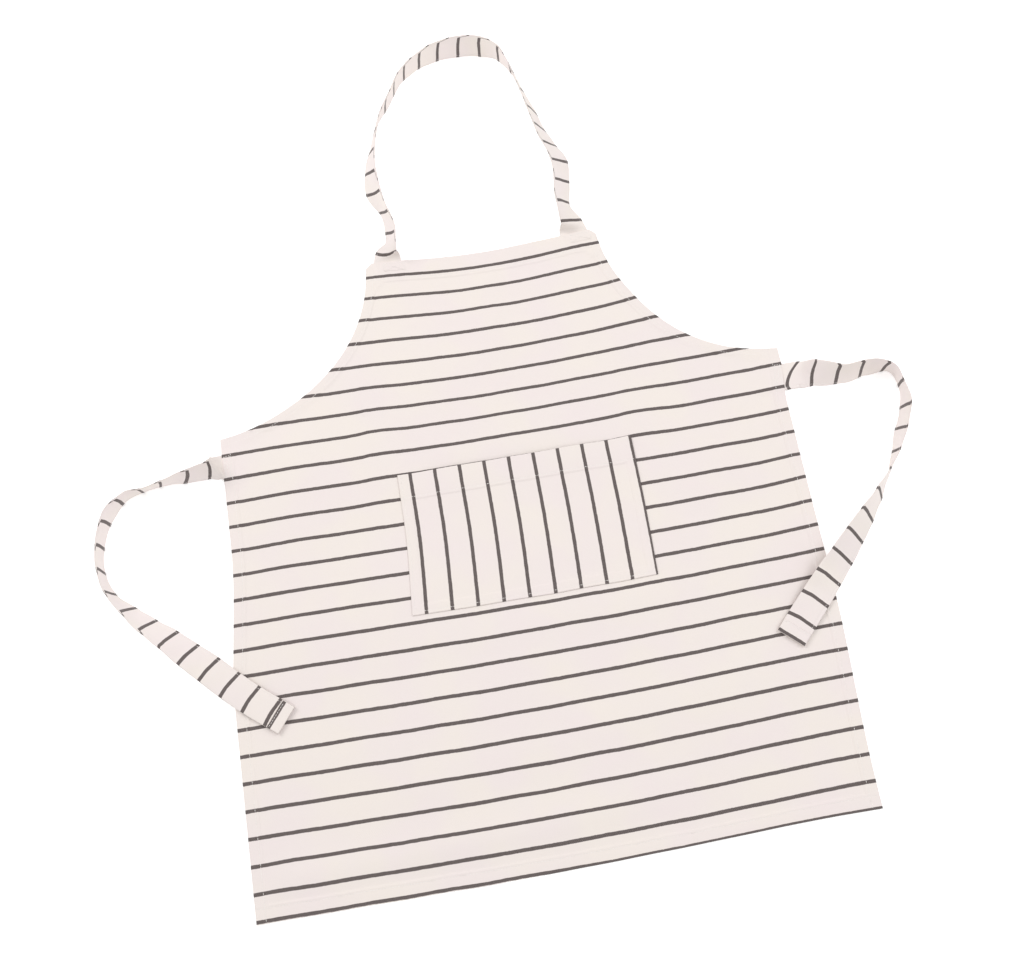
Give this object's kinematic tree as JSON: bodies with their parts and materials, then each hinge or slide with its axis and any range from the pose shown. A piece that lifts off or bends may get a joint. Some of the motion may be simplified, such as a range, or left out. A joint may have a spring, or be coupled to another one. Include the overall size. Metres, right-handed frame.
{
  "type": "apron",
  "caption": "Cloth bib apron lying flat, cream twill with dark stripes, with a patch pocket, a neck loop and two waist ties.",
  "frame": {"origin": "on the underside of the body panel, on its centre line, in the middle of the skirt; the apron lies flat on Z = 0", "axes": "+X to the right of the apron seen from its front, +Y from the bottom hem towards the bib and neck loop, +Z out of the front of the cloth"},
  "size_m": [0.9205, 1.001, 0.0376],
  "materials": {
    "striped_twill": "matte",
    "strap_twill": "matte",
    "sewing_thread": "matte"
  },
  "bodies": {
    "apron": {"body_panel": "striped_twill", "bib_top_hem": "striped_twill", "left_armhole_hem": "striped_twill", "right_armhole_hem": "striped_twill", "left_side_hem": "striped_twill", "right_side_hem": "striped_twill", "bottom_hem": "striped_twill", "pocket_panel": "striped_twill", "pocket_mouth_hem": "striped_twill", "neck_strap_end_left": "strap_twill", "neck_strap_end_right": "strap_twill", "left_tie_sewn_end": "strap_twill", "right_tie_sewn_end": "strap_twill", "bib_top_thread": "sewing_thread", "left_armhole_thread": "sewing_thread", "right_armhole_thread": "sewing_thread", "left_side_thread": "sewing_thread", "right_side_thread": "sewing_thread", "bottom_thread": "sewing_thread", "pocket_thread": "sewing_thread", "pocket_mouth_thread": "sewing_thread", "neck_tack_left": "sewing_thread", "neck_tack_right": "sewing_thread", "left_tie_tack": "sewing_thread", "right_tie_tack": "sewing_thread"},
    "neck_loop": {"neck_strap": "strap_twill"},
    "left_waist_tie": {"left_tie": "strap_twill", "left_tie_end_fold": "strap_twill", "left_tie_end_thread": "sewing_thread"},
    "right_waist_tie": {"right_tie": "strap_twill", "right_tie_end_fold": "strap_twill", "right_tie_end_thread": "sewing_thread"}
  },
  "joints": [
    {"name": "neck_loop_fold", "type": "hinge", "parent": "apron", "child": "neck_loop", "pos_m": [0, 0.35775, 0.0028], "axis": [1, 0, 0], "range_deg": [0, 100]},
    {"name": "left_tie_swing", "type": "hinge", "parent": "apron", "child": "left_waist_tie", "pos_m": [-0.3429, 0.127, 0.0006], "axis": [0, 0, -1], "range_deg": [0, 50]},
    {"name": "right_tie_swing", "type": "hinge", "parent": "apron", "child": "right_waist_tie", "pos_m": [0.3429, 0.127, 0.0006], "axis": [0, 0, 1], "range_deg": [0, 50]}
  ]
}
